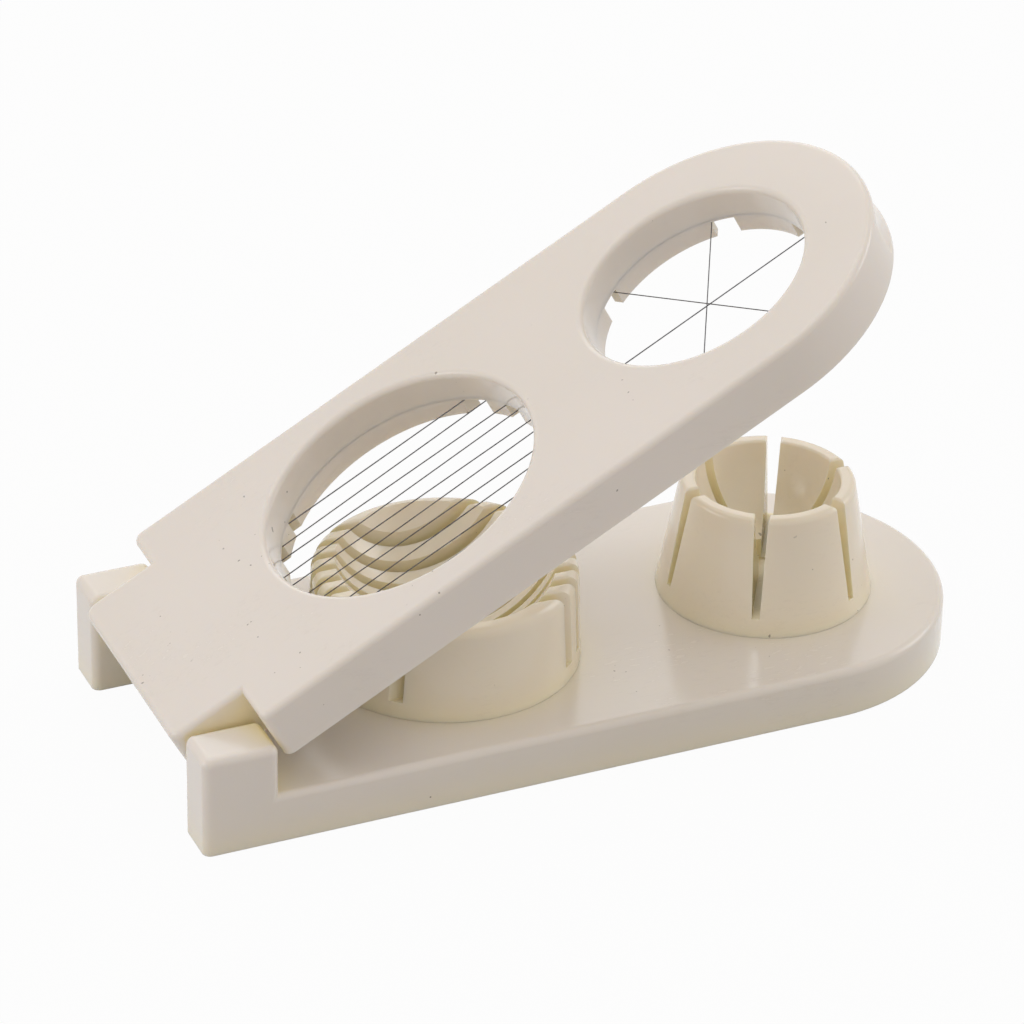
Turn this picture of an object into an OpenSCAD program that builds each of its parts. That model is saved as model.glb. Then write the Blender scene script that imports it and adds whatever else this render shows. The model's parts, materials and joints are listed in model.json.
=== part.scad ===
// Egg slicer and wedger: a long base with two egg cups, and one hinged lid
// whose wire frames cut slices in one cup and wedges in the other.
// Millimetres, +Z up, +X from the hinge to the round end. The origin is the
// middle of the footprint at table height, with the lid at its rest tilt.

/* [Base] */
// Length of the base from the back of the ears to its round end
base_length = 203; // [198:1:225]
// Width of the base
base_width = 88; // [86:1:100]
// Height of the base slab
slab_height = 12.4; // [10.5:0.1:15]
// Side wall of the hollow base
base_wall = 2.4; // [1.8:0.1:3.2]
// Top plate of the hollow base
base_plate = 2.6; // [2:0.1:3.4]
// Radius along the upper edges of the base
base_edge = 1.8; // [0.6:0.1:2.2]

/* [Hinge] */
// Length of each hinge ear along the base
ear_length = 18.2; // [16:0.1:19]
// Width of each hinge ear
ear_width = 13; // [10:0.1:15]
// Height of the hinge ears above the table
ear_height = 25.3; // [24.6:0.1:30]
// Radius on the corners and upper edges of the ears
ear_round = 2; // [1:0.1:2.6]
// Distance of the hinge axis from the back of the ears
hinge_back = 5.4; // [5.2:0.1:7]
// Height of the hinge axis above the table
hinge_height = 19.7; // [18.8:0.1:20.2]
// Radius of the two stub pins on the lid
pin_radius = 3; // [1.8:0.1:3.2]
// Length of each pin inside its ear
pin_reach = 6.5; // [4:0.1:7]
// Running clearance round the pins
pin_clearance = 0.06; // [0.03:0.01:0.1]
// Gap between the tongue of the lid and each ear
tongue_gap = 1; // [0.5:0.1:2]
// Tilt of the lid as the tool stands open, in degrees
rest_tilt = 28.6; // [0:0.1:70]

/* [Lid] */
// Thickness of the lid
lid_thickness = 13.4; // [12:0.1:16]
// Width of the lid
lid_width = 85.5; // [84:0.1:90]
// How far the lid passes the round end of the base when closed
lid_overhang = 1.8; // [0:0.1:4]
// Gap between the base slab and the closed lid
lid_gap = 1.55; // [1:0.05:3]
// Skirt wall of the lid
lid_wall = 2.5; // [1.8:0.1:3.2]
// Top plate of the lid
lid_plate = 2.5; // [2:0.1:3.4]
// Radius along the upper edges of the lid and of its openings
lid_edge = 1.5; // [0.6:0.1:2]
// Distance from the hinge axis forward to the shoulders of the lid
shoulder_reach = 14; // [13.9:0.1:18]
// Radius of the shoulder corners in plan
shoulder_round = 2.5; // [2:0.1:6]
// Distance from the hinge axis back to the end of the tongue
tongue_reach = 5.1; // [4.6:0.1:5.1]
// Radius of the tongue's rear corners in plan
tongue_corner = 3; // [1.6:0.1:5]
// Depth of the thumb scoop in the round end of the lid
scoop_depth = 1; // [0.4:0.1:1.1]
// Angle that the thumb scoop covers round the end of the lid
scoop_span = 60; // [40:1:80]
// Height of the thumb scoop
scoop_height = 10.2; // [6:0.1:10.2]
// Height of the thumb scoop above the lower edge of the lid
scoop_rise = 1.1; // [0.8:0.1:1.5]

/* [Slicer] */
// Distance of the slicing cup from the wedging cup, toward the hinge
cup_spacing = 83.23; // [80:0.01:86]
// Width of the lid beside the slicing opening
slicer_border = 8.55; // [8.2:0.05:9.2]
// Gap between the foot of the slicing cup and the opening
slicer_gap = 2; // [1.6:0.1:2.6]
// How much the slicing cup narrows from its foot to its rim
slicer_draft = 0.9; // [0.7:0.1:1.7]
// Height of the slicing cup above the slab
slicer_height = 24.2; // [20:0.1:25]
// Radius on the outer upper edge of the slicing cup
slicer_round = 3; // [1:0.1:3.6]
// Rim wall of the slicing cup beyond each end of its egg hollow
hollow_end_wall = 3; // [2.8:0.1:5.2]
// Rim wall of the slicing cup on each side of its egg hollow
hollow_side_wall = 5.8; // [4.8:0.1:9.2]
// Depth of the egg hollow in the slicing cup
slicer_hollow_depth = 17; // [12:0.1:18]
// Number of passes of the slicing wire
slice_passes = 10; // [10]
// Distance between passes of the slicing wire
slice_pitch = 5.1; // [4.9:0.05:5.2]
// Width of the slots in the slicing cup
slice_slot = 2.4; // [2.3:0.1:2.6]
// How much farther apart the slots of the cup are than the passes of the wire
slot_spread = 0.1; // [0:0.01:0.12]
// Width of the teeth that the slicing wire turns round
slice_tooth = 5.4; // [5.2:0.05:5.6]

/* [Wedger] */
// Distance of the wedging cup from the round end of the base
wedger_inset = 43.442; // [42:0.001:45]
// Radius of the wedging opening in the lid
wedger_opening = 27.9; // [27.4:0.1:29]
// Radius of the wedging cup at its foot
wedger_foot = 26; // [25:0.1:26.4]
// Radius of the wedging cup at its rim
wedger_rim = 20.8; // [19.8:0.1:21.6]
// Height of the wedging cup above the slab
wedger_height = 29.1; // [24:0.1:30]
// Radius on the outer upper edge of the wedging cup
wedger_round = 1.6; // [0.8:0.1:2]
// Rim wall of the wedging cup
wedger_wall = 3.4; // [2.8:0.1:4.5]
// Depth of the egg hollow in the wedging cup
wedger_hollow_depth = 21; // [16:0.1:21.5]
// Height above the rim of the middle of the hollow's curve
wedger_hollow_rise = 2; // [1:0.1:4]
// Width of the wedging slots at the rim
wedge_slot_top = 3.4; // [3.2:0.1:4]
// Width of the wedging slots at their floor
wedge_slot_floor = 1.9; // [1.6:0.1:2.6]
// Radius of the well where the wedging slots meet
well_radius = 4; // [3.4:0.1:5]
// Depth of the well below the slot floors
well_step = 0.4; // [0.2:0.1:1]
// Width of the notches that the wedging wire leaves through
wedge_notch = 6.1; // [4:0.1:7]

/* [Cups] */
// Height of the slicing slot floors above the slab
slice_floor = 4.2; // [4:0.1:5.2]
// Height of the wedging slot floors above the slab
wedge_floor = 4.5; // [4:0.1:4.6]
// Radius on the upper edges of the slots
slot_round = 0.7; // [0.2:0.1:0.8]
// Step from the foot of a cup in to its spigot
cup_shoulder = 2.6; // [1.5:0.1:4]
// Length of the spigot below the top plate
spigot_drop = 2.2; // [1:0.1:3]
// Wall of the spigot and floor of the cup
cup_wall = 2.3; // [1.6:0.1:3]
// Clearance of the spigot in the top plate
spigot_fit = 0.05; // [0.02:0.01:0.15]

/* [Wire] */
// Radius of the cutting wire
wire_radius = 0.2; // [0.15:0.01:0.25]
// Gap between the wire and what it turns round
wire_gap = 0.1; // [0.05:0.01:0.12]
// Height step between the three passes of the wedging wire
wire_step = 0.42; // [0.41:0.01:0.45]
// Wall of the openings and of the wire frames under them
frame_wall = 2.6; // [2:0.1:3]
// Depth of the notches in the wire frames
notch_depth = 4.5; // [4:0.1:5]
// Thickness of the band above the notches
frame_band = 0.55; // [0.5:0.05:1.5]
// Thickness of the lip that grips the wall of the opening
grip_wall = 1.4; // [1:0.1:1.6]
// Height of that lip above the frame
grip_height = 3; // [1.5:0.1:4]
// Clearance of the grip lip round the wall of the opening
grip_fit = 0.05; // [0.02:0.01:0.15]

/* [Screws] */
// Radius of the screw shank
shank_radius = 1.1; // [0.9:0.05:1.3]
// Length of the screw shank
shank_length = 6; // [4:0.1:6.5]
// Clearance of the shank in its boss
shank_fit = 0.05; // [0.02:0.01:0.1]
// Radius of the screw head
head_radius = 2.5; // [2:0.1:2.8]
// Height of the screw head
head_height = 1.3; // [1:0.1:1.4]
// Radius of the boss that holds a screw
boss_radius = 2.8; // [2.4:0.1:3.1]

/* [Hidden] */
$fn = 96;

ivory = [0.90, 0.87, 0.83];
cup_ivory = [0.86, 0.82, 0.74];
steel = [0.45, 0.45, 0.47];

// How far a cutter passes the surface that it cuts
over = 1;
base_half = base_width / 2;
lid_half = lid_width / 2;

// Heights of the lid measured from the hinge axis
lid_low = slab_height + lid_gap - hinge_height;
lid_high = lid_low + lid_thickness;
seam = lid_low + notch_depth + frame_band;
notch_top = lid_low + notch_depth;
wire_level = notch_top - wire_gap - wire_radius;

// Places of both cups from the back of the base
wedger_place = base_length - wedger_inset;
slicer_place = wedger_place - cup_spacing;

// The slicing opening and its cup take their size from the width of the lid
slicer_opening = lid_half - slicer_border;
slicer_foot = slicer_opening - slicer_gap;
slicer_rim = slicer_foot - slicer_draft;

// Places along the lid measured from the hinge axis
slicer_middle = slicer_place - hinge_back;
wedger_middle = wedger_place - hinge_back;
lid_round_middle = base_length + lid_overhang - hinge_back - lid_half;
tongue_half = base_half - ear_width - tongue_gap;

// The rear upper edge of the tongue is the rearmost point of the tool
rear_edge = hinge_back
    + (lid_edge - tongue_reach) * cos(rest_tilt)
    - (lid_high - lid_edge) * sin(rest_tilt)
    - lid_edge;
rearmost = min(0, rear_edge);
middle = (base_length + rearmost) / 2;

// Ring sizes of the wire frames
slicer_ring = slicer_opening + frame_wall;
wedger_ring = wedger_opening + frame_wall;
wire_lift = wire_gap + wire_radius;
slicer_turn = slicer_ring + wire_lift;
wedger_turn = wedger_ring + wire_lift;
wire_nip = 2.4 * wire_radius;
grip_reach = grip_fit + grip_wall;

// The wire passes a tooth on both sides, so the passes sit this much off pitch
slice_offset = slice_tooth / 2 + wire_lift - slice_pitch / 2;
slice_notch = 2 * slice_pitch - slice_tooth;
slice_half = (slice_passes - 1) / 2 * slice_pitch;

// Screws stand outside the grip lip, a few degrees on from the wire's last exit
screw_gap = 0.6;
slicer_screw = slicer_ring + grip_reach + screw_gap + boss_radius;
wedger_screw = wedger_ring + grip_reach + screw_gap + boss_radius;
slicer_screw_turn = 9;
wedger_screw_turn = 15;
screw_loop = shank_radius + wire_lift;

// Directions of the wedging wire's three passes, from the top one down
wedge_pitch = 60;
wedge_angles = [wedge_pitch, 2 * wedge_pitch, 0];

// Distance across the lid of one slicing pass, the first being the farthest
function slice_line(pass) = slice_half - (pass - 1) * slice_pitch;
// The slots of the cup are a little farther apart
function slot_line(pass) = slice_line(pass) * (slice_pitch + slot_spread) / slice_pitch;
// Odd passes turn outward at the hinge end, even ones inward
function slice_side(pass) = pass % 2 == 1 ? 1 : -1;
function slice_rear(pass) = slice_line(pass) + slice_side(pass) * slice_offset;
// The first and the last pass run straight on to their screws
function slice_front(pass) = (pass == 1 || pass == slice_passes)
    ? slice_rear(pass)
    : slice_line(pass) - slice_side(pass) * slice_offset;
function turn_angle(across) = asin(across / slicer_turn);
function wedge_level(order) = wire_level - order * wire_step;

// ---------- shared shapes ----------

// Outline with straight sides and four round corners, about the origin
module rounded_plan(length, width, corner) {
    square([length - 2 * corner, width], center = true);
    square([length, width - 2 * corner], center = true);
    for (sx = [-1, 1])
        for (sy = [-1, 1])
            translate([sx * (length / 2 - corner), sy * (width / 2 - corner)])
                circle(corner);
}

// What is cut away outside a rounded edge; the edge stands at x = reach, y = 0
module edge_profile(radius, reach) {
    difference() {
        translate([reach - radius, -radius])
            square(radius + over);
        translate([reach - radius, -radius])
            circle(radius);
    }
}

// The same for the edge of a hole, with the body outside x = reach
module rim_profile(radius, reach) {
    difference() {
        translate([reach - over, -radius])
            square([radius + over, radius + over]);
        translate([reach + radius, -radius])
            circle(radius);
    }
}

// Cutter for a straight upper edge along +X that faces +Y
module edge_bar(length, radius) {
    rotate([90, 0, 90])
        linear_extrude(length)
            edge_profile(radius, 0);
}

// Cutter for a round upper edge
module edge_bend(angle, radius, reach) {
    rotate_extrude(angle = angle)
        edge_profile(radius, reach);
}

// Block with round upright corners and round upper edges, about the origin
module rounded_block(length, width, height, corner, edge) {
    difference() {
        linear_extrude(height)
            rounded_plan(length, width, corner);
        translate([0, 0, height])
            for (turn = [0, 180])
                rotate([0, 0, turn]) {
                    translate([corner - length / 2, width / 2, 0])
                        edge_bar(length - 2 * corner, edge);
                    translate([length / 2, width / 2 - corner, 0])
                        rotate([0, 0, -90])
                            edge_bar(width - 2 * corner, edge);
                    translate([length / 2 - corner, width / 2 - corner, 0])
                        edge_bend(90, edge, corner);
                    translate([corner - length / 2, width / 2 - corner, 0])
                        rotate([0, 0, 90])
                            edge_bend(90, edge, corner);
                }
    }
}

// Plan of a bar with a square end at x = start and a round end about x = hub
module round_ended_plan(start, hub, half) {
    translate([start, -half])
        square([hub - start, 2 * half]);
    translate([hub, 0])
        circle(half);
}

// Ring about the Z axis
module ring(outer, inner, height) {
    difference() {
        cylinder(r = outer, h = height);
        translate([0, 0, -over])
            cylinder(r = inner, h = height + 2 * over);
    }
}

// Half profile of a tapered round cup with a rounded upper edge
module cup_profile(foot, rim, height, edge) {
    taper = atan((foot - rim) / height);
    hub_y = height - edge;
    hub_x = foot - (foot - rim) * hub_y / height - edge / cos(taper);
    polygon([
        [0, 0],
        [foot, 0],
        [hub_x + edge * cos(taper), hub_y + edge * sin(taper)],
        [hub_x, hub_y],
        [hub_x, height],
        [0, height]
    ]);
    translate([hub_x, hub_y])
        circle(edge);
}

// Half profile of an egg hollow: an arc that meets the axis at both ends
module egg_profile(bow, sagitta_hub) {
    intersection() {
        translate([sagitta_hub, 0])
            circle(bow);
        translate([0, -bow - over])
            square(2 * (bow + over));
    }
}

// Half profile of an upright egg hollow below y = 0, with a rounded rim. The wall is an
// arc that stands a little past upright at the rim, so its middle lies above the rim.
module hollow_profile(mouth, depth, rise, edge) {
    hub_x = (mouth ^ 2 + rise ^ 2 - (depth + rise) ^ 2) / (2 * mouth);
    bow = sqrt(hub_x ^ 2 + (depth + rise) ^ 2);
    rim_x = hub_x + sqrt((bow + edge) ^ 2 - (edge + rise) ^ 2);
    share = bow / (bow + edge);
    touch_x = hub_x + (rim_x - hub_x) * share;
    touch_y = rise - (edge + rise) * share;
    intersection() {
        translate([hub_x, rise])
            circle(bow);
        translate([0, -depth - over])
            square([mouth, depth + over + over]);
    }
    difference() {
        polygon([
            [0, touch_y],
            [touch_x, touch_y],
            [rim_x, -edge],
            [rim_x, over],
            [0, over]
        ]);
        translate([rim_x, -edge])
            circle(edge);
    }
}

// Section of a slot that widens upward and has rounded upper edges
module slot_profile(low, high, depth, edge) {
    slant = atan((high - low) / 2 / depth);
    hub_y = depth - edge;
    hub_x = low / 2 + (high - low) / 2 * hub_y / depth + edge / cos(slant);
    touch_x = hub_x - edge * cos(slant);
    touch_y = hub_y + edge * sin(slant);
    difference() {
        polygon([
            [-low / 2, 0],
            [low / 2, 0],
            [touch_x, touch_y],
            [hub_x, hub_y],
            [hub_x, depth + over],
            [-hub_x, depth + over],
            [-hub_x, hub_y],
            [-touch_x, touch_y]
        ]);
        for (side = [-1, 1])
            translate([side * hub_x, hub_y])
                circle(edge);
    }
}

// Spigot under a cup and the hollow inside it
module cup_spigot(foot) {
    translate([0, 0, -base_plate - spigot_drop])
        cylinder(r = foot - cup_shoulder, h = base_plate + spigot_drop + over);
}

module cup_core(foot, floor_height) {
    low = base_plate + spigot_drop;
    translate([0, 0, -low - over])
        cylinder(r = foot - cup_shoulder - cup_wall, h = low + over + floor_height - cup_wall);
}

// ---------- base ----------

module base_spigot_holes() {
    for (cup = [[slicer_place, slicer_foot], [wedger_place, wedger_foot]])
        translate([cup[0], 0, 0])
            cylinder(r = cup[1] - cup_shoulder + spigot_fit, h = slab_height + over);
}

module ear_bore() {
    translate([hinge_back, tongue_half + tongue_gap - over, hinge_height])
        rotate([-90, 0, 0])
            cylinder(r = pin_radius + pin_clearance, h = pin_reach + over + tongue_gap / 2);
}

// One ear with the piece of slab that runs in under its rounded front
module ear() {
    ear_middle = base_half - ear_width / 2;
    translate([ear_length / 2, ear_middle, 0])
        rounded_block(ear_length, ear_width, ear_height, ear_round, ear_round);
    translate([ear_length - 2 * ear_round, base_half, 0])
        difference() {
            translate([0, -ear_width, 0])
                cube([2 * ear_round, ear_width, slab_height]);
            translate([-over, 0, slab_height])
                edge_bar(2 * (ear_round + over), base_edge);
        }
}

// Hollow in one ear, below its pin
module ear_core() {
    top = hinge_height - pin_radius - pin_clearance - base_plate;
    translate([base_wall, base_half - ear_width + base_wall, -over])
        cube([ear_length - 2 * base_wall, ear_width - 2 * base_wall, top + over]);
}

module base_slab() {
    hub = base_length - base_half;
    difference() {
        linear_extrude(slab_height)
            round_ended_plan(ear_length, hub, base_half);
        translate([0, 0, slab_height]) {
            for (side = [0, 1])
                mirror([0, side, 0])
                    translate([ear_length, base_half, 0])
                        edge_bar(hub - ear_length, base_edge);
            translate([hub, 0, 0])
                rotate([0, 0, -90])
                    edge_bend(180, base_edge, base_half);
            translate([ear_length, ear_width - base_half, 0])
                rotate([0, 0, 90])
                    edge_bar(base_width - 2 * ear_width, base_edge);
        }
    }
}

module base() {
    hub = base_length - base_half;
    color(ivory)
        translate([-middle, 0, 0])
            difference() {
                union() {
                    base_slab();
                    for (side = [0, 1])
                        mirror([0, side, 0])
                            ear();
                }
                translate([0, 0, -over])
                    linear_extrude(slab_height - base_plate + over)
                        round_ended_plan(ear_length + base_wall, hub, base_half - base_wall);
                for (side = [0, 1])
                    mirror([0, side, 0]) {
                        ear_core();
                        ear_bore();
                    }
                base_spigot_holes();
            }
}

// ---------- egg cups ----------

module slicer_cup() {
    half_width = slicer_rim - hollow_side_wall;
    half_length = slicer_rim - hollow_end_wall;
    // The hollow is a barrel that lies across the cup, cut by the rim
    barrel = (half_width ^ 2 + slicer_hollow_depth ^ 2) / (2 * slicer_hollow_depth);
    bow = (half_length ^ 2 + slicer_hollow_depth ^ 2) / (2 * slicer_hollow_depth);
    color(cup_ivory)
        translate([slicer_place - middle, 0, slab_height])
            difference() {
                union() {
                    rotate_extrude()
                        cup_profile(slicer_foot, slicer_rim, slicer_height, slicer_round);
                    cup_spigot(slicer_foot);
                }
                cup_core(slicer_foot, slice_floor);
                translate([0, 0, slicer_height + barrel - slicer_hollow_depth])
                    rotate([90, 0, 0])
                        rotate_extrude()
                            egg_profile(bow, barrel - bow);
                for (pass = [1 : slice_passes])
                    translate([-slicer_foot - over, slot_line(pass), slice_floor])
                        rotate([90, 0, 90])
                            linear_extrude(2 * (slicer_foot + over))
                                slot_profile(slice_slot, slice_slot,
                                    slicer_height - slice_floor, slot_round);
            }
}

module wedger_cup() {
    mouth = wedger_rim - wedger_wall;
    color(cup_ivory)
        translate([wedger_place - middle, 0, slab_height])
            difference() {
                // The round forms start between two slots
                rotate([0, 0, 30])
                    difference() {
                        union() {
                            rotate_extrude()
                                cup_profile(wedger_foot, wedger_rim, wedger_height, wedger_round);
                            cup_spigot(wedger_foot);
                        }
                        cup_core(wedger_foot, wedge_floor);
                        translate([0, 0, wedger_height])
                            rotate_extrude()
                                hollow_profile(mouth, wedger_hollow_depth,
                                    wedger_hollow_rise, slot_round);
                    }
                // Six slots run out from a well that is a little deeper than they are
                translate([0, 0, wedge_floor - well_step])
                    cylinder(r = well_radius, h = wedger_height);
                for (angle = [0 : 60 : 300])
                    rotate([0, 0, angle])
                        translate([well_radius / 2, 0, wedge_floor])
                            rotate([90, 0, 90])
                                linear_extrude(wedger_foot)
                                    slot_profile(wedge_slot_floor, wedge_slot_top,
                                        wedger_height - wedge_floor, slot_round);
            }
}

// ---------- lid ----------

// Puts what is modelled about the hinge axis into its place at the rest tilt
module on_lid() {
    translate([hinge_back - middle, 0, hinge_height])
        rotate([0, -rest_tilt, 0])
            children();
}

module lid_plan(inset) {
    start = shoulder_reach + inset;
    half = lid_half - inset;
    corner = max(shoulder_round - inset, over / 4);
    translate([start, corner - half])
        square([lid_round_middle - start, 2 * (half - corner)]);
    translate([start + corner, -half])
        square([lid_round_middle - start - corner, 2 * half]);
    for (side = [-1, 1])
        translate([start + corner, side * (half - corner)])
            circle(corner);
    translate([lid_round_middle, 0])
        circle(half);
}

module lid_body() {
    side_start = shoulder_reach + shoulder_round;
    difference() {
        translate([0, 0, lid_low])
            linear_extrude(lid_thickness)
                lid_plan(0);
        translate([0, 0, lid_high]) {
            for (side = [0, 1])
                mirror([0, side, 0]) {
                    translate([side_start, lid_half, 0])
                        edge_bar(lid_round_middle - side_start, lid_edge);
                    translate([side_start, lid_half - shoulder_round, 0])
                        rotate([0, 0, 90])
                            edge_bend(90, lid_edge, shoulder_round);
                }
            translate([shoulder_reach, shoulder_round - lid_half, 0])
                rotate([0, 0, 90])
                    edge_bar(lid_width - 2 * shoulder_round, lid_edge);
            translate([lid_round_middle, 0, 0])
                rotate([0, 0, -90])
                    edge_bend(180, lid_edge, lid_half);
        }
    }
}

// The tongue between the ears runs on under the body, past its rounded edge
module lid_tongue() {
    length = tongue_reach + shoulder_reach + lid_edge + tongue_corner;
    translate([length / 2 - tongue_reach, 0, lid_low])
        rounded_block(length, 2 * tongue_half, lid_thickness, tongue_corner, lid_edge);
}

// Shallow scoop round the end of the lid, where a thumb lifts it
module thumb_scoop() {
    half = scoop_height / 2;
    reach = (half ^ 2 + scoop_depth ^ 2) / (2 * scoop_depth);
    translate([lid_round_middle, 0, lid_low + scoop_rise + half])
        rotate([0, 0, -scoop_span / 2])
            rotate_extrude(angle = scoop_span)
                translate([lid_half + reach - scoop_depth, 0])
                    circle(reach);
}

// Hollow under the lid, with the walls round both openings and the screw bosses left in
module lid_core() {
    depth = lid_thickness - lid_plate;
    inner = tongue_half - lid_wall;
    difference() {
        union() {
            translate([0, 0, lid_low - over])
                linear_extrude(depth + over)
                    lid_plan(lid_wall);
            translate([lid_wall - tongue_reach, -inner, lid_low - over])
                cube([tongue_reach + shoulder_reach + over, 2 * inner, depth + over]);
        }
        for (place = [[slicer_middle, slicer_ring], [wedger_middle, wedger_ring]])
            translate([place[0], 0, seam])
                cylinder(r = place[1], h = lid_thickness);
        for (side = [-1, 1])
            translate([0, side * (inner + over), 0])
                rotate([side * 90, 0, 0])
                    cylinder(r = pin_radius + base_wall / 2, h = pin_reach);
        each_screw()
            translate([0, 0, wire_radius + wire_gap])
                cylinder(r = boss_radius, h = lid_thickness);
    }
}

// Places the children at each screw, at the level of the wire that it clamps
module each_screw() {
    for (side = [-1, 1])
        translate([slicer_middle, 0, wire_level])
            rotate([0, 0, side * (turn_angle(slice_front(1)) + slicer_screw_turn)])
                translate([slicer_screw, 0, 0])
                    children();
    translate([wedger_middle, 0, wedge_level(0)])
        rotate([0, 0, wedge_angles[0] + 180 - wedger_screw_turn])
            translate([wedger_screw, 0, 0])
                children();
    translate([wedger_middle, 0, wedge_level(2)])
        rotate([0, 0, wedge_angles[2] + 180 + wedger_screw_turn])
            translate([wedger_screw, 0, 0])
                children();
}

module hinge_pins() {
    root = tongue_half - lid_wall / 2;
    for (side = [-1, 1])
        translate([0, side * root, 0])
            rotate([-side * 90, 0, 0])
                cylinder(r = pin_radius, h = lid_wall / 2 + tongue_gap + pin_reach);
}

module lid() {
    color(ivory)
        on_lid() {
            difference() {
                union() {
                    lid_body();
                    lid_tongue();
                }
                lid_core();
                thumb_scoop();
                for (place = [[slicer_middle, slicer_opening], [wedger_middle, wedger_opening]])
                    translate([place[0], 0, 0]) {
                        translate([0, 0, lid_low - over])
                            cylinder(r = place[1], h = lid_thickness + 2 * over);
                        translate([0, 0, lid_high])
                            rotate_extrude()
                                rim_profile(lid_edge, place[1]);
                    }
                each_screw()
                    cylinder(r = shank_radius + shank_fit, h = shank_length + over / 2);
            }
            hinge_pins();
        }
}

// ---------- wire frames ----------

// Ring under an opening, with a band above its notches and a lip that grips the wall above
module wire_frame(opening) {
    outer = opening + frame_wall;
    translate([0, 0, lid_low])
        ring(outer, opening, seam - lid_low);
    translate([0, 0, notch_top])
        ring(outer + grip_reach, outer - over, frame_band);
    translate([0, 0, notch_top])
        ring(outer + grip_reach, outer + grip_fit, frame_band + grip_height);
}

// One notch, cut along +X, between two lines that run across the wall
module notch(ring_radius, low_side, high_side) {
    translate([ring_radius / 2, low_side, lid_low - over])
        cube([ring_radius / 2 + over, high_side - low_side, notch_depth + over]);
}

module slicer_wire_frame() {
    rear_edge = slice_rear(1) - wire_lift;
    last = slice_front(1) + wire_lift;
    color(cup_ivory)
        on_lid()
            translate([slicer_middle, 0, 0])
                difference() {
                    wire_frame(slicer_opening);
                    // Rear notches lie between passes 2 and 3, 4 and 5, and so on
                    for (pass = [2 : 2 : slice_passes - 2])
                        mirror([1, 0, 0])
                            notch(slicer_ring, slice_rear(pass + 1) - wire_lift,
                                slice_rear(pass) + wire_lift);
                    // Half notches outside the first and the last pass
                    for (side = [0, 1])
                        mirror([0, side, 0]) {
                            mirror([1, 0, 0])
                                notch(slicer_ring, rear_edge, rear_edge + slice_notch / 2);
                            notch(slicer_ring, slice_front(2) - wire_lift, last);
                        }
                    // Front notches lie between passes 3 and 4, 5 and 6, and so on
                    for (pass = [3 : 2 : slice_passes - 3])
                        notch(slicer_ring, slice_front(pass + 1) - wire_lift,
                            slice_front(pass) + wire_lift);
                }
}

module wedger_wire_frame() {
    // Each wire end leaves through a notch on the side away from the tooth it turns round
    exits = [[60, -1], [120, 1], [180, -1], [240, 1], [300, -1], [0, 1]];
    color(cup_ivory)
        on_lid()
            translate([wedger_middle, 0, 0])
                difference() {
                    wire_frame(wedger_opening);
                    for (exit = exits)
                        rotate([0, 0, exit[0]])
                            notch(wedger_ring,
                                exit[1] < 0 ? wire_lift - wedge_notch : -wire_lift,
                                exit[1] < 0 ? wire_lift : wedge_notch - wire_lift);
                }
}

// ---------- cutting wires ----------

// Straight wire from one point to another, with its ends drawn in a little
module wire_pass(from, to, level) {
    run = to - from;
    length = norm(run);
    translate([from[0], from[1], level])
        rotate([0, 0, atan2(run[1], run[0])])
            translate([wire_nip, 0, 0])
                rotate([0, 90, 0])
                    cylinder(r = wire_radius, h = length - 2 * wire_nip);
}

// Wire bent round the frame, which changes level evenly from one end to the other
module wire_bend(reach, start, angle, drop = 0) {
    slope = asin(drop / (2 * reach * sin(angle / 2)));
    translate([0, 0, -drop / 2])
        rotate([0, 0, start + angle / 2])
            rotate([-slope, 0, 0])
                rotate([0, 0, -angle / 2])
                    rotate_extrude(angle = angle)
                        translate([reach, 0])
                            circle(wire_radius);
}

// Lead from the frame to a screw and the loop round its shank
module wire_lead(reach, start, hub, turn) {
    from = [reach * cos(start), reach * sin(start)];
    to = [hub * cos(start + turn), hub * sin(start + turn)];
    run = to - from;
    translate([from[0], from[1], 0])
        rotate([0, 0, atan2(run[1], run[0])])
            rotate([0, 90, 0])
                cylinder(r = wire_radius, h = norm(run) - screw_loop);
    translate([to[0], to[1], 0])
        rotate_extrude()
            translate([screw_loop, 0])
                circle(wire_radius);
}

module slicing_wire_pass(pass) {
    rear = slice_rear(pass);
    front = slice_front(pass);
    color(steel)
        on_lid()
            translate([slicer_middle, 0, 0])
                wire_pass([-sqrt(slicer_turn ^ 2 - rear ^ 2), rear],
                    [sqrt(slicer_turn ^ 2 - front ^ 2), front], wire_level);
}

module slicing_wire_turns() {
    color(steel)
        on_lid()
            translate([slicer_middle, 0, wire_level]) {
                // Rear turns join passes 1 and 2, 3 and 4, and so on
                for (pass = [1 : 2 : slice_passes - 1])
                    wire_bend(slicer_turn, 180 - turn_angle(slice_rear(pass)),
                        turn_angle(slice_rear(pass)) - turn_angle(slice_rear(pass + 1)));
                // Front turns join passes 2 and 3, 4 and 5, and so on
                for (pass = [2 : 2 : slice_passes - 2])
                    wire_bend(slicer_turn, turn_angle(slice_front(pass + 1)),
                        turn_angle(slice_front(pass)) - turn_angle(slice_front(pass + 1)));
                for (side = [-1, 1])
                    wire_lead(slicer_turn, side * turn_angle(slice_front(1)),
                        slicer_screw, side * slicer_screw_turn);
            }
}

module wedging_wire_pass(order) {
    angle = wedge_angles[order - 1];
    end = wedger_turn * [cos(angle), sin(angle)];
    color(steel)
        on_lid()
            translate([wedger_middle, 0, 0])
                wire_pass(-end, end, wedge_level(order - 1));
}

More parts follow.
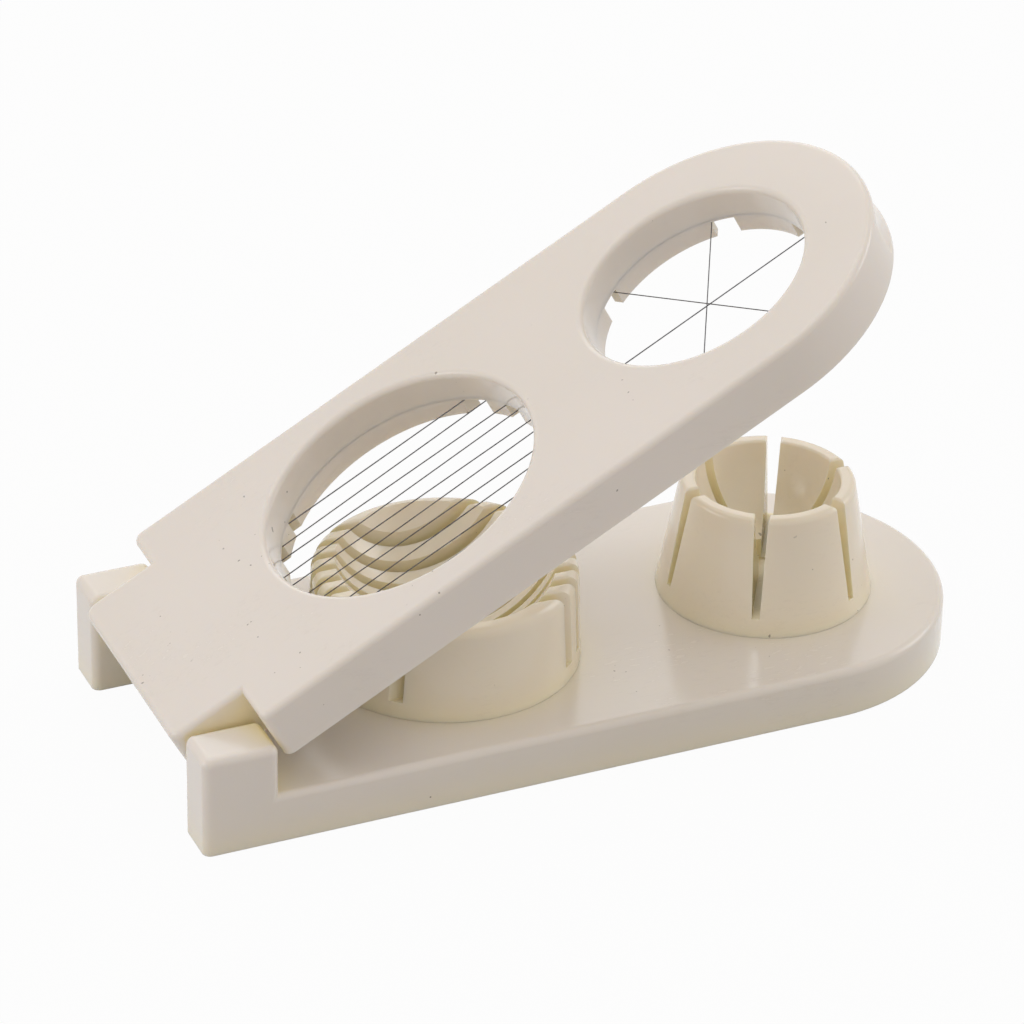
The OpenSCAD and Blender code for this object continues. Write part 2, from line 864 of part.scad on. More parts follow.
module wedging_wire_turns() {
    color(steel)
        on_lid()
            translate([wedger_middle, 0, 0]) {
                // Each bend runs down from the level of one pass to that of the next
                for (order = [0, 1])
                    translate([0, 0, wedge_level(order)])
                        wire_bend(wedger_turn, wedge_angles[order] + order * 180,
                            wedge_pitch, wire_step);
                translate([0, 0, wedge_level(0)])
                    wire_lead(wedger_turn, wedge_angles[0] + 180,
                        wedger_screw, -wedger_screw_turn);
                translate([0, 0, wedge_level(2)])
                    wire_lead(wedger_turn, wedge_angles[2] + 180,
                        wedger_screw, wedger_screw_turn);
            }
}

// Pan head screws that clamp the wire ends
module wire_screw() {
    translate([0, 0, -wire_lift])
        cylinder(r = shank_radius, h = shank_length + wire_lift);
    translate([0, 0, -wire_lift - head_height])
        cylinder(r = head_radius, h = head_height);
}

module wire_screws() {
    color(steel)
        on_lid()
            each_screw()
                wire_screw();
}

base();
slicer_cup();
wedger_cup();
lid();
slicer_wire_frame();
wedger_wire_frame();
for (pass = [1 : slice_passes])
    slicing_wire_pass(pass);
slicing_wire_turns();
for (order = [1 : 3])
    wedging_wire_pass(order);
wedging_wire_turns();
wire_screws();
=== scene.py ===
import json
import logging
import math
from dataclasses import dataclass
from enum import Enum

import bmesh
import bpy
from mathutils import Matrix, Vector


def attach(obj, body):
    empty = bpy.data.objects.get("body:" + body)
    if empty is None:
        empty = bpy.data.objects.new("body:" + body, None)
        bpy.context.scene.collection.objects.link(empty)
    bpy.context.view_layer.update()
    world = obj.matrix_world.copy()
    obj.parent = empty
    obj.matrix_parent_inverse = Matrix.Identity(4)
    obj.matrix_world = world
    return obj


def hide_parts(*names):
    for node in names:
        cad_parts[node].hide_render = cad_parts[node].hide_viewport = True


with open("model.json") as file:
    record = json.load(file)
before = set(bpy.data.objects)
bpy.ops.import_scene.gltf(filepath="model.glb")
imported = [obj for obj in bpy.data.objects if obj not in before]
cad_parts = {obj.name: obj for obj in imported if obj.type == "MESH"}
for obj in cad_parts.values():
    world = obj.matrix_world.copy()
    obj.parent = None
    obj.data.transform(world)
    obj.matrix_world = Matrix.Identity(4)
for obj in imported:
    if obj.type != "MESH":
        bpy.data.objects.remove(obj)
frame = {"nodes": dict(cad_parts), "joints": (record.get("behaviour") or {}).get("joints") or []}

LOG = logging.getLogger("egg_slicer")
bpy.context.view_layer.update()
MM = 0.001


# ---------- shader building ----------


class Value:
    """A number that varies over a surface, so that shader maths reads as plain arithmetic."""

    def __init__(self, shader: "NodeTree", socket: bpy.types.NodeSocket) -> None:
        """Wraps one output socket.

        Args:
            shader: The shader that the socket's node belongs to.
            socket: The output socket that carries the number.
        """
        self.shader = shader
        self.socket = socket

    def _math(self, operation: str, left: object, right: object) -> "Value":
        """Adds one Math node and returns its result."""
        result = self.shader.add("ShaderNodeMath", {"operation": operation}, [left, right])
        return Value(self.shader, result)

    def __add__(self, other: object) -> "Value":
        """Returns the sum."""
        return self._math("ADD", self, other)

    def __radd__(self, other: object) -> "Value":
        """Returns the sum, with the number on the left."""
        return self._math("ADD", other, self)

    def __sub__(self, other: object) -> "Value":
        """Returns the difference."""
        return self._math("SUBTRACT", self, other)

    def __rsub__(self, other: object) -> "Value":
        """Returns the difference, with the number on the left."""
        return self._math("SUBTRACT", other, self)

    def __mul__(self, other: object) -> "Value":
        """Returns the product."""
        return self._math("MULTIPLY", self, other)

    def __rmul__(self, other: object) -> "Value":
        """Returns the product, with the number on the left."""
        return self._math("MULTIPLY", other, self)

    def larger(self, other: object) -> "Value":
        """Returns the larger of two values."""
        return self._math("MAXIMUM", self, other)

    def ramp(self, low: float, high: float) -> "Value":
        """Returns 0 below low, 1 above high and a smooth rise between.

        Args:
            low: The value that gives 0.
            high: The value that gives 1.

        Returns:
            The mask between 0 and 1.
        """
        settings = {"interpolation_type": "SMOOTHSTEP"}
        sockets = {"Value": self, "From Min": low, "From Max": high}
        return Value(self.shader, self.shader.add("ShaderNodeMapRange", settings, sockets))


class NodeTree:
    """A node tree that is built a node at a time."""

    def __init__(self, owner: bpy.types.ID) -> None:
        """Empties the owner's node tree.

        Args:
            owner: The material or world that holds the tree.
        """
        owner.use_nodes = True
        self.tree = owner.node_tree
        self.tree.nodes.clear()

    def add(
        self, kind: str, settings: dict, sockets: object, output: object = 0
    ) -> bpy.types.NodeSocket:
        """Adds a node, sets it up and feeds its inputs.

        Args:
            kind: The node's type.
            settings: The node's own settings, by name.
            sockets: Its inputs as a list, or as a dict by name or number.
            output: The name or number of the output that is wanted.

        Returns:
            That output socket, or None on a node without outputs.
        """
        node = self.tree.nodes.new(kind)
        for key, value in settings.items():
            setattr(node, key, value)
        pairs = sockets.items() if isinstance(sockets, dict) else enumerate(sockets)
        for key, value in pairs:
            self.feed(node.inputs[key], value)
        return node.outputs[output] if len(node.outputs) else None

    def feed(self, socket: bpy.types.NodeSocket, value: object) -> None:
        """Links or sets one input.

        Args:
            socket: The input socket.
            value: A Value, an output socket, or a constant.
        """
        if isinstance(value, Value):
            value = value.socket
        if isinstance(value, bpy.types.NodeSocket):
            self.tree.links.new(value, socket)
        else:
            socket.default_value = value

    def seen_directly(self, *rays: str) -> Value:
        """Returns 1 for rays of the given kinds and 0 for all others.

        Args:
            rays: Names of outputs of the Light Path node.

        Returns:
            The mask.
        """
        mask = Value(self, self.add("ShaderNodeLightPath", {}, {}, rays[0]))
        for ray in rays[1:]:
            mask = mask.larger(self.add("ShaderNodeLightPath", {}, {}, ray))
        return mask


class Shader(NodeTree):
    """One material with a Principled surface."""

    def __init__(self, name: str) -> None:
        """Makes the material.

        Args:
            name: The material's name.
        """
        self.material = bpy.data.materials.new(name)
        super().__init__(self.material)
        shine = self.add("ShaderNodeBsdfPrincipled", {}, {}, "BSDF")
        self.surface = shine.node
        self.add("ShaderNodeOutputMaterial", {}, {"Surface": shine})

    def place(self) -> bpy.types.NodeSocket:
        """Returns the surface point in the object's own coordinates."""
        return self.add("ShaderNodeTexCoord", {}, {}, "Object")

    def stretched(self, turn: tuple, scale: tuple) -> bpy.types.NodeSocket:
        """Returns the surface point, turned and stretched.

        Args:
            turn: The turn about each axis, in radians.
            scale: The scale along each axis.

        Returns:
            The changed point.
        """
        sockets = {"Vector": self.place(), "Rotation": turn, "Scale": scale}
        return self.add("ShaderNodeMapping", {}, sockets)

    def noise(
        self, scale: float, detail: float, roughness: float = 0.5, point: object = None
    ) -> Value:
        """Returns a noise field over the surface.

        Args:
            scale: Waves per metre.
            detail: Octaves.
            roughness: Share of each finer octave.
            point: The point that it is read at, or None for the surface point.

        Returns:
            The field, from about 0.3 to 0.7.
        """
        sockets = {
            "Vector": point or self.place(),
            "Scale": scale,
            "Detail": detail,
            "Roughness": roughness,
        }
        return Value(self, self.add("ShaderNodeTexNoise", {}, sockets))

    def mix_colour(self, mask: object, low: object, high: object) -> bpy.types.NodeSocket:
        """Mixes two colours by a mask.

        Args:
            mask: The share of the second colour.
            low: The first colour, as four numbers or a socket.
            high: The second colour, as four numbers or a socket.

        Returns:
            The mixed colour.
        """
        return self.add("ShaderNodeMix", {"data_type": "RGBA"}, {0: mask, 6: low, 7: high}, 2)

    def set(self, name: str, value: object) -> None:
        """Sets or links one socket of the Principled surface."""
        self.feed(self.surface.inputs[name], value)


def linear(red: int, green: int, blue: int) -> tuple[float, float, float, float]:
    """Turns a display colour into the linear colour that shaders take.

    Args:
        red: Red, from 0 to 255.
        green: Green, from 0 to 255.
        blue: Blue, from 0 to 255.

    Returns:
        The linear colour with full alpha.
    """

    def channel(value: int) -> float:
        """Returns one linear channel."""
        share = value / 255
        return share / 12.92 if share <= 0.04045 else ((share + 0.055) / 1.055) ** 2.4

    return (channel(red), channel(green), channel(blue), 1.0)


# ---------- finishes ----------


@dataclass(frozen=True)
class MouldedPlastic:
    """Glossy moulded plastic that lets a little light in, with rub marks, specks of dust and a
    painted warm glow in its recesses.
    """

    name: str
    body: tuple[int, int, int]
    drift: tuple[int, int, int]
    # Painted light: the warm pale colour laid into hollows, standing in for light that bounces
    # about and passes through the plastic
    recess: tuple[int, int, int]
    speck: tuple[int, int, int] = (96, 84, 70)
    gloss: float = 0.17
    glow: float = 0.5
    glow_depth: float = 2 * MM
    glow_spread: tuple[float, float, float] = (1.0, 0.85, 0.6)
    refraction: float = 1.5
    drift_scale: float = 12.0
    # How far the painted glow in hollows looks for shelter, and how much of it the deepest hollows
    # get
    recess_reach: float = 18 * MM
    painted_glow_share: float = 0.85
    rub_patch_scale: float = 26.0
    rub_scale: float = 900.0
    rub_turn: float = 0.5
    rub_stretch: float = 0.25
    rub_stain: float = 0.06
    rub_dulling: float = 0.16
    speck_scale: float = 820.0
    speck_patch_scale: float = 60.0
    speck_share: float = 0.6
    ripple: float = 0.05 * MM
    ripple_scale: float = 45.0

    def tint_and_painted_glow(self, shader: Shader) -> bpy.types.NodeSocket:
        """Returns the plastic's own colour, a little uneven, with painted light down in its
        recesses: a warmer, paler colour that stands in for light bouncing about and passing through
        the plastic.

        Args:
            shader: The material that is built.

        Returns:
            The colour, before marks and dust.
        """
        flow = shader.noise(self.drift_scale, 2.0).ramp(0.3, 0.7)
        colour = shader.mix_colour(flow, linear(*self.body), linear(*self.drift))
        # Painted light: hollows found by ambient occlusion get a warmer, paler colour, standing in
        # for light that bounces about and passes through the plastic
        settings, sockets = {"samples": 4}, {"Distance": self.recess_reach}
        openness = Value(
            shader, shader.add("ShaderNodeAmbientOcclusion", settings, sockets, "AO"))
        depth = self.painted_glow_share - openness.ramp(0.1, 0.9) * self.painted_glow_share
        return shader.mix_colour(depth, colour, linear(*self.recess))

    def rubbed(self, shader: Shader) -> Value:
        """Returns the rub marks, which lie in patches along the way that the tool is wiped.

        Args:
            shader: The material that is built.

        Returns:
            The mask of the marks.
        """
        patch = shader.noise(self.rub_patch_scale, 2.0).ramp(0.52, 0.66)
        wiped = shader.stretched((0.0, 0.0, self.rub_turn), (self.rub_stretch, 1.0, 1.0))
        return shader.noise(self.rub_scale, 3.0, 0.6, wiped).ramp(0.52, 0.7) * patch

    def dusted(self, shader: Shader) -> Value:
        """Returns the mask of the sparse specks of dust.

        Args:
            shader: The material that is built.

        Returns:
            The mask of the specks.
        """
        grain = shader.noise(self.speck_scale, 0.0).ramp(0.83, 0.85)
        sparse = shader.noise(self.speck_patch_scale, 0.0).ramp(0.62, 0.67)
        return grain * sparse * self.speck_share

    def make(self) -> bpy.types.Material:
        """Builds the material.

        Returns:
            The finished material.
        """
        shader = Shader(self.name)
        # The plastic's colour, with the painted glow in its recesses
        colour = self.tint_and_painted_glow(shader)
        rub = self.rubbed(shader)
        dirt = linear(*self.speck)
        colour = shader.mix_colour(rub * self.rub_stain, colour, dirt)
        colour = shader.mix_colour(self.dusted(shader), colour, dirt)
        shader.set("Base Color", colour)
        shader.set("Roughness", rub * self.rub_dulling + self.gloss)
        shader.set("Subsurface Weight", self.glow)
        shader.set("Subsurface Radius", self.glow_spread)
        shader.set("Subsurface Scale", self.glow_depth)
        shader.set("IOR", self.refraction)
        # The moulded surface is very slightly wavy, which shows in what it mirrors
        wave = shader.noise(self.ripple_scale, 1.0)
        sockets = {"Strength": 0.5, "Distance": self.ripple, "Height": wave}
        shader.set("Normal", shader.add("ShaderNodeBump", {}, sockets))
        return shader.material


@dataclass(frozen=True)
class DrawnSteel:
    """Bare drawn or turned steel with fine streaks."""

    name: str
    body: tuple[int, int, int]
    roughness: float = 0.3
    streak_scale: float = 900.0
    streak_tone: float = 0.78
    streak_dulling: float = 0.12

    def make(self) -> bpy.types.Material:
        """Builds the material.

        Returns:
            The finished material.
        """
        shader = Shader(self.name)
        streak = shader.noise(self.streak_scale, 3.0).ramp(0.35, 0.7)
        dark = tuple(int(channel * self.streak_tone) for channel in self.body)
        shader.set("Base Color", shader.mix_colour(streak, linear(*self.body), linear(*dark)))
        shader.set("Metallic", 1.0)
        shader.set("Roughness", streak * self.streak_dulling + self.roughness)
        return shader.material


class Finish(Enum):
    """The finishes of the tool, each named after a slot of the record."""

    IVORY = "ivory_plastic"
    CUP = "cup_plastic"
    WIRE = "wire_steel"
    SCREW = "screw_steel"


FINISHES = {
    Finish.IVORY: MouldedPlastic(
        name="ivory_plastic_finish",
        body=(233, 226, 219),
        drift=(230, 223, 214),
        # recess is painted light: a warm glow in hollows, not the plastic's own colour
        recess=(249, 237, 196),
    ),
    Finish.CUP: MouldedPlastic(
        name="cup_plastic_finish",
        body=(241, 231, 213),
        drift=(238, 227, 208),
        # recess is painted light: a warm glow in hollows, not the plastic's own colour
        recess=(249, 238, 196),
    ),
    Finish.WIRE: DrawnSteel("wire_steel_finish", (112, 110, 112)),
    Finish.SCREW: DrawnSteel("screw_steel_finish", (176, 176, 180), 0.22),
}


# ---------- pieces ----------


def deselect() -> None:
    """Deselects every object."""
    bpy.ops.object.select_all(action="DESELECT")


def dress(node: str, material: bpy.types.Material) -> None:
    """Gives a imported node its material.

    Args:
        node: The node's name.
        material: The material for all its slots.
    """
    piece = frame["nodes"][node]
    piece.data.materials.clear()
    piece.data.materials.append(material)
    LOG.info("dressed %s", node)


@dataclass
class LidFrame:
    """The lid's own frame: x runs along the lid from the hinge axis, z stands on its plane."""

    tilt: float = math.radians(28.6)
    low: float = -5.75 * MM

    def __post_init__(self) -> None:
        """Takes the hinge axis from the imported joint."""
        hinge = next(joint for joint in frame["joints"] if joint["name"] == "lid_hinge")
        self.hinge = Vector(hinge["pos_m"])
        self.matrix = Matrix.Translation(self.hinge) @ Matrix.Rotation(-self.tilt, 4, "Y")

    def place(self, x: float, y: float, z: float) -> Vector:
        """Returns a point of the lid's frame in the row frame."""
        return self.matrix @ Vector((x, y, z))


@dataclass
class WireWork:
    """Both cutting wires, each one length of wire wound round its notched frame."""

    lid: LidFrame
    radius: float = 0.16 * MM
    lift: float = 0.3 * MM
    frame_wall: float = 2.6 * MM
    notch_depth: float = 4.5 * MM
    slicer_middle: float = 70.928 * MM
    slicer_opening: float = 34.2 * MM
    passes: int = 10
    pitch: float = 5.1 * MM
    tooth: float = 5.4 * MM
    wedger_middle: float = 154.158 * MM
    wedger_opening: float = 27.9 * MM
    wedges: int = 6
    step: float = 0.42 * MM
    screw_reach: float = 4.85 * MM
    shank: float = 1.1 * MM
    slicer_screw_turn: float = 9.0
    wedger_screw_turn: float = 15.0
    loop_turn: float = 290.0
    loop_points: int = 20
    bend_step: float = 4.0

    def __post_init__(self) -> None:
        """Works out the sizes that follow from the others."""
        self.level = self.lid.low + self.notch_depth - self.lift
        self.slicer_turn = self.slicer_opening + self.frame_wall + self.lift
        self.wedger_turn = self.wedger_opening + self.frame_wall + self.lift
        self.offset = self.tooth / 2 + self.lift - self.pitch / 2
        self.loop = self.shank + self.lift

    def line(self, number: int) -> float:
        """Returns how far across the lid the middle of a pass lies."""
        return (self.passes - 1) / 2 * self.pitch - (number - 1) * self.pitch

    def rear(self, number: int) -> float:
        """Returns how far across the lid a pass meets the hinge side of its frame."""
        return self.line(number) + (self.offset if number % 2 else -self.offset)

    def front(self, number: int) -> float:
        """Returns how far across the lid a pass meets the far side of its frame."""
        if number in (1, self.passes):
            return self.rear(number)
        return self.line(number) - (self.offset if number % 2 else -self.offset)

    def exits(self) -> list[float]:
        """Returns the angles at which the wedging passes meet their frame, in degrees."""
        return [360 / self.wedges * number for number in range(self.wedges + 1)]

    def bend(self, reach: float, start: float, end: float, low: float, high: float) -> list[Vector]:
        """Returns points on a bend about the origin.

        Args:
            reach: The bend's radius.
            start: The first angle, in degrees.
            end: The last angle, in degrees.
            low: The height at the first angle.
            high: The height at the last angle.

        Returns:
            The points from start to end.
        """
        count = max(2, int(abs(end - start) / self.bend_step))
        points = []
        for index in range(count + 1):
            share = index / count
            angle = math.radians(start + (end - start) * share)
            height = low + (high - low) * share
            points.append(Vector((reach * math.cos(angle), reach * math.sin(angle), height)))
        return points

    def screw_loop(
        self, start: float, turn: float, reach: float, ring: float, height: float
    ) -> list[Vector]:
        """Returns the loop round a screw and the lead to the frame's rim.

        Args:
            start: The angle of the last exit, in degrees.
            turn: The angle from there to the screw, in degrees.
            reach: The screw's distance from the frame's axis.
            ring: The wire's distance from that axis as it leaves the frame.
            height: The wire's height.

        Returns:
            The points from the loop to the frame's rim.
        """
        angle = math.radians(start + turn)
        hub = Vector((reach * math.cos(angle), reach * math.sin(angle), height))
        out = math.radians(start)
        rim = Vector((ring * math.cos(out), ring * math.sin(out), height))
        toward = (rim - hub).normalized()
        first = math.degrees(math.atan2(toward.y, toward.x))
        way = 1 if turn > 0 else -1
        loop = []
        for index in range(self.loop_points + 1):
            left = 90 - self.loop_turn + self.loop_turn * index / self.loop_points
            turned = math.radians(first + way * left)
            loop.append(hub + Vector((math.cos(turned), math.sin(turned), 0)) * self.loop)
        return loop + [rim]

    def slicing_route(self) -> list[Vector]:
        """Returns the slicing wire's route about the middle of its opening."""
        ring = self.slicer_turn

        def angle(across: float) -> float:
            """Returns the angle at which a line across the lid meets the ring."""
            return math.degrees(math.asin(across / ring))

        reach = self.slicer_opening + self.frame_wall + self.screw_reach
        first = angle(self.front(1))
        route = self.screw_loop(first, self.slicer_screw_turn, reach, ring, self.level)
        for number in range(1, self.passes):
            if number % 2:
                start, end = 180 - angle(self.rear(number)), 180 - angle(self.rear(number + 1))
            else:
                start, end = angle(self.front(number)), angle(self.front(number + 1))
            route += self.bend(ring, start, end, self.level, self.level)
        last = self.screw_loop(-first, -self.slicer_screw_turn, reach, ring, self.level)
        return route + last[::-1]

    def wedging_route(self) -> list[Vector]:
        """Returns the wedging wire's route about the middle of its opening."""
        ring = self.wedger_turn
        levels = [self.level - order * self.step for order in range(self.wedges // 2)]
        exits = self.exits()
        reach = self.wedger_opening + self.frame_wall + self.screw_reach
        turn = self.wedger_screw_turn
        route = self.screw_loop(exits[4], -turn, reach, ring, levels[0])
        route += self.bend(ring, exits[1], exits[2], levels[0], levels[1])
        route += self.bend(ring, exits[5], exits[6], levels[1], levels[2])
        return route + self.screw_loop(exits[3], turn, reach, ring, levels[2])[::-1]

    def draw(self, name: str, route: list[Vector], middle: float) -> bpy.types.Object:
        """Draws one wire along its route as a round tube.

        Args:
            name: The piece's name.
            route: Points about the middle of the opening.
            middle: That middle's distance from the hinge axis.

        Returns:
            The wire as a mesh, in the row frame.
        """
        deselect()
        bpy.ops.curve.primitive_nurbs_path_add(location=(0, 0, 0))
        wire = bpy.context.object
        wire.name = name
        curve = wire.data
        curve.splines.clear()
        spline = curve.splines.new("POLY")
        spline.points.add(len(route) - 1)
        for point, spot in zip(spline.points, route):
            point.co = (*self.lid.place(spot.x + middle, spot.y, spot.z), 1.0)
        curve.dimensions = "3D"
        curve.bevel_depth = self.radius
        curve.bevel_resolution = 3
        curve.use_fill_caps = True
        bpy.ops.object.convert(target="MESH")
        bpy.ops.object.shade_smooth_by_angle(angle=math.radians(40))
        return wire

    def build(self, material: bpy.types.Material) -> None:
        """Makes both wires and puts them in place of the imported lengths.

        Args:
            material: The wire's finish.
        """
        slicing = self.draw("slicing_wire", self.slicing_route(), self.slicer_middle)
        wedging = self.draw("wedging_wire", self.wedging_route(), self.wedger_middle)
        for wire, count in ((slicing, self.passes), (wedging, self.wedges // 2)):
            nodes = [f"{wire.name}_pass_{number}" for number in range(1, count + 1)]
            wire.data.materials.clear()
            wire.data.materials.append(material)
            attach(wire, "lid_body")
            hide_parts(*nodes, f"{wire.name}_turns")
            LOG.info("built %s", wire.name)


@dataclass
class WireScrews:
    """The four pan head screws that clamp the ends of the wires under the lid."""

    lid: LidFrame
    wires: WireWork
    head_radius: float = 2.5 * MM
    head_height: float = 1.3 * MM
    crown: float = 0.85 * MM
    shank_length: float = 6.0 * MM
    thread_pitch: float = 0.8 * MM
    thread_root: float = 0.84
    recess_width: float = 0.62 * MM
    recess_reach: float = 1.45 * MM
    recess_depth: float = 0.85 * MM
    sides: int = 40
    first_turn: float = 17.0
    next_turn: float = 31.0

    def pick_end(self, mesh: bpy.types.Mesh, side: float) -> None:
        """Selects the end face that looks up or down.

        Args:
            mesh: The screw's mesh, in edit mode.
            side: 1 for the upper end, -1 for the lower one.
        """
        shape = bmesh.from_edit_mesh(mesh)
        for face in shape.faces:
            face.select_set(False)
        ends = [face for face in shape.faces if face.normal.z * side > 0.9]
        end = max(ends, key=lambda face: face.calc_center_median().z * side)
        end.select_set(True)
        bmesh.update_edit_mesh(mesh)

    def recess(self, screw: bpy.types.Object) -> None:
        """Cuts the cross into the head.

        Args:
            screw: The screw that is cut.
        """
        low = -self.wires.lift - self.head_height
        for turn in (0.0, math.pi / 2):
            deselect()
            bpy.ops.mesh.primitive_cube_add(size=1, location=(0, 0, low))
            cutter = bpy.context.object
            bpy.ops.object.mode_set(mode="EDIT")
            spread = (2 * self.recess_reach, self.recess_width, 2 * self.recess_depth)
            bpy.ops.transform.resize(value=spread, center_override=(0, 0, low))
            bpy.ops.object.mode_set(mode="OBJECT")
            cutter.data.transform(Matrix.Rotation(turn, 4, "Z"))
            deselect()
            screw.select_set(True)
            bpy.context.view_layer.objects.active = screw
            cut = screw.modifiers.new("recess", "BOOLEAN")
            cut.operation = "DIFFERENCE"
            cut.solver = "EXACT"
            cut.object = cutter
            bpy.ops.object.modifier_apply(modifier=cut.name)
            bpy.data.objects.remove(cutter)

    def model(self) -> bpy.types.Object:
        """Models one screw that stands on the level of its wire.

        Returns:
            The screw, with its head down.
        """
        deselect()
        top = -self.wires.lift
        bpy.ops.mesh.primitive_cylinder_add(
            vertices=self.sides,
            radius=self.head_radius,
            depth=self.head_height,
            location=(0, 0, top - self.head_height / 2),
        )
        screw = bpy.context.object
        bpy.ops.object.transform_apply(location=True)
        bpy.ops.object.mode_set(mode="EDIT")
        self.pick_end(screw.data, 1)
        bpy.ops.mesh.inset(thickness=self.head_radius - self.wires.shank)
        turns = int((self.shank_length - top) / self.thread_pitch)
        for _ in range(turns):
            for size in (self.thread_root, 1 / self.thread_root):
                bpy.ops.mesh.extrude_region_move(
                    TRANSFORM_OT_translate={"value": (0, 0, self.thread_pitch / 2)})
                bpy.ops.transform.resize(value=(size, size, 1))
        self.pick_end(screw.data, -1)
        bpy.ops.mesh.bevel(offset=self.crown, segments=5, profile=0.6)
        bpy.ops.mesh.select_all(action="SELECT")
        bpy.ops.mesh.normals_make_consistent(inside=False)
        bpy.ops.object.mode_set(mode="OBJECT")
        self.recess(screw)
        bpy.ops.object.shade_smooth_by_angle(angle=math.radians(35))
        return screw

    def places(self) -> list[Vector]:
        """Returns where each screw crosses the level of its wire, in the lid's frame."""
        wires = self.wires
        slicer = (wires.slicer_middle, wires.slicer_opening)
        wedger = (wires.wedger_middle, wires.wedger_opening)
        first = math.degrees(math.asin(wires.front(1) / wires.slicer_turn))
        first += wires.slicer_screw_turn
        exits = wires.exits()
        rows = (
            (*slicer, first, 0),
            (*slicer, -first, 0),
            (*wedger, exits[4] - wires.wedger_screw_turn, 0),
            (*wedger, exits[3] + wires.wedger_screw_turn, 2),
        )
        spots = []
        for middle, opening, turn, drop in rows:
            reach = opening + wires.frame_wall + wires.screw_reach
            angle = math.radians(turn)
            spots.append(Vector((
                middle + reach * math.cos(angle),
                reach * math.sin(angle),
                wires.level - drop * wires.step,
            )))
        return spots

    def build(self, material: bpy.types.Material) -> None:
        """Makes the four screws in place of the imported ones.

        Args:
            material: The screws' finish.
        """
        pattern = self.model()
        for number, spot in enumerate(self.places(), 1):
            screw = pattern.copy()
            screw.data = pattern.data.copy()
            bpy.context.scene.collection.objects.link(screw)
            screw.name = f"wire_screw_{number}"
            turn = math.radians(self.first_turn + self.next_turn * number)
            turned = Matrix.Rotation(turn, 4, "Z")
            screw.data.transform(self.lid.matrix @ Matrix.Translation(spot) @ turned)
            screw.data.materials.clear()
            screw.data.materials.append(material)
            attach(screw, "lid_body")
            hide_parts("wire_screws")
            LOG.info("built %s", screw.name)
        bpy.data.objects.remove(pattern)


@dataclass
class MouldedBody:
    """The plastic mouldings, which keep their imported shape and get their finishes."""

    ivory: tuple[str, ...] = ("base", "lid", "slicer_wire_frame", "wedger_wire_frame")
    cups: tuple[str, ...] = ("slicer_cup", "wedger_cup")

    def build(self, materials: dict[Finish, bpy.types.Material]) -> None:
        """Dresses each moulding.

        Args:
            materials: The finished materials.
        """
        for node in self.ivory:
            dress(node, materials[Finish.IVORY])
        for node in self.cups:
            dress(node, materials[Finish.CUP])


# ---------- studio ----------

WHITE = (1.0, 1.0, 1.0, 1.0)
DIRECT_RAYS = ("Is Camera Ray", "Is Glossy Ray", "Is Transmission Ray")


@dataclass(frozen=True)
class Lamp:
    """A soft square lamp that faces the tool."""

    name: str
    place: tuple[float, float, float]
    size: float
    power: float
    tint: tuple[float, float, float]
    aim: tuple[float, float, float] = (0.0, 0.0, 0.04)

    def hang(self) -> None:
        """Puts the lamp in its place."""
        data = bpy.data.lights.new(self.name, "AREA")
        data.shape = "SQUARE"
        data.size = self.size
        data.energy = self.power
        data.color = self.tint
        lamp = bpy.data.objects.new(self.name, data)
        bpy.context.scene.collection.objects.link(lamp)
        lamp.location = self.place
        lamp.rotation_mode = "QUATERNION"
        toward = Vector(self.aim) - Vector(self.place)
        lamp.rotation_quaternion = toward.to_track_quat("-Z", "Y")


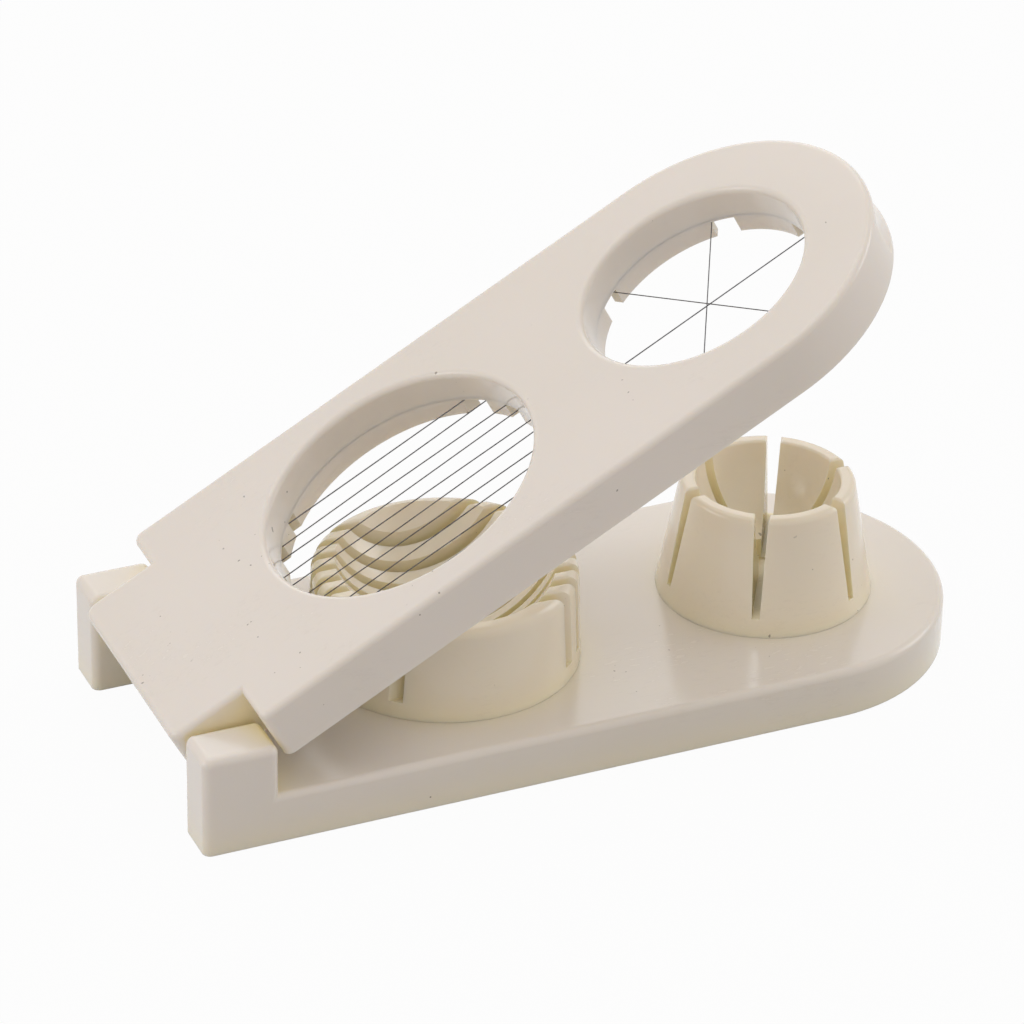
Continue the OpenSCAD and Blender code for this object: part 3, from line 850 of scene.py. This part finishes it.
@dataclass
class Studio:
    """Pale floor, soft lamps and the camera."""

    azimuth: float = math.radians(-23.868)
    elevation: float = math.radians(30.462)
    roll: float = math.radians(1.2)
    target: tuple[float, float, float] = (3.10 * MM, 23.46 * MM, 31.06 * MM)
    distance: float = 1253.6 * MM
    focal_share: float = 5248.4 / 1024
    sensor: float = 36.0
    near: float = 0.05
    far: float = 20.0
    floor_size: float = 6.0
    floor_gap: float = 0.2 * MM
    floor_tone: float = 0.55
    floor_light: float = 0.96
    fill: float = 0.675
    fill_tint: tuple[float, float, float, float] = (1.0, 0.95, 0.9, 1.0)
    lamps: tuple[Lamp, ...] = (
        Lamp("top_lamp", (0.0, 0.35, 1.3), 0.9, 1.8, (0.92, 0.96, 1.0)),
        Lamp("back_lamp", (0.3, 1.3, 0.8), 0.9, 2.2, (1.0, 1.0, 1.0)),
        Lamp("left_lamp", (-1.3, 0.2, 0.5), 0.7, 3.1, (0.97, 0.97, 1.0)),
        Lamp("right_lamp", (1.3, -0.1, 0.6), 0.7, 3.3, (0.94, 0.96, 1.0)),
    )

    def camera(self) -> None:
        """Sets the camera at its place, with its small roll."""
        back = Vector((
            math.sin(self.azimuth) * math.cos(self.elevation),
            -math.cos(self.azimuth) * math.cos(self.elevation),
            math.sin(self.elevation),
        ))
        right = Vector((math.cos(self.azimuth), math.sin(self.azimuth), 0))
        up = back.cross(right)
        turned_right = right * math.cos(self.roll) + up * math.sin(self.roll)
        turned_up = up * math.cos(self.roll) - right * math.sin(self.roll)
        data = bpy.data.cameras.new("camera")
        data.sensor_width = self.sensor
        data.lens = self.sensor * self.focal_share
        data.clip_start = self.near
        data.clip_end = self.far
        camera = bpy.data.objects.new("camera", data)
        bpy.context.scene.collection.objects.link(camera)
        place = Vector(self.target) + back * self.distance
        matrix = Matrix((turned_right, turned_up, back)).transposed().to_4x4()
        camera.matrix_world = Matrix.Translation(place) @ matrix
        bpy.context.scene.camera = camera

    def floor(self) -> None:
        """Lays a plain white floor that keeps a faint shadow."""
        deselect()
        bpy.ops.mesh.primitive_plane_add(size=self.floor_size, location=(0, 0, -self.floor_gap))
        floor = bpy.context.object
        floor.name = "floor"
        material = bpy.data.materials.new("floor_white")
        nodes = NodeTree(material)
        matt = nodes.add("ShaderNodeBsdfDiffuse", {}, {"Color": (*[self.floor_tone] * 3, 1)})
        bright = nodes.add("ShaderNodeEmission", {}, {"Color": WHITE, "Strength": 1.0})
        seen = nodes.seen_directly(*DIRECT_RAYS) * self.floor_light
        surface = nodes.add("ShaderNodeMixShader", {}, [seen, matt, bright])
        nodes.add("ShaderNodeOutputMaterial", {}, {"Surface": surface})
        floor.data.materials.append(material)

    def world(self) -> None:
        """Fills the surroundings with soft light that the camera sees as white."""
        world = bpy.data.worlds.new("studio")
        bpy.context.scene.world = world
        nodes = NodeTree(world)
        white = nodes.add("ShaderNodeBackground", {}, {"Color": WHITE, "Strength": 1.0})
        tint = {"Color": self.fill_tint, "Strength": self.fill}
        soft = nodes.add("ShaderNodeBackground", {}, tint)
        seen = nodes.seen_directly(*DIRECT_RAYS)
        surface = nodes.add("ShaderNodeMixShader", {}, [seen, soft, white])
        nodes.add("ShaderNodeOutputWorld", {}, {"Surface": surface})

    def build(self) -> None:
        """Sets camera, floor, surroundings and lamps."""
        self.camera()
        self.floor()
        self.world()
        for lamp in self.lamps:
            lamp.hang()
        scene = bpy.context.scene
        scene.view_settings.view_transform = "Standard"
        LOG.info("studio is set")


def main() -> None:
    """Builds the studio and dresses the tool."""
    logging.basicConfig(level=logging.INFO, format="%(name)s: %(message)s")
    Studio().build()
    materials = {finish: plan.make() for finish, plan in FINISHES.items()}
    MouldedBody().build(materials)
    lid = LidFrame()
    wires = WireWork(lid)
    wires.build(materials[Finish.WIRE])
    WireScrews(lid, wires).build(materials[Finish.SCREW])


if __name__ == "__main__":
    main()
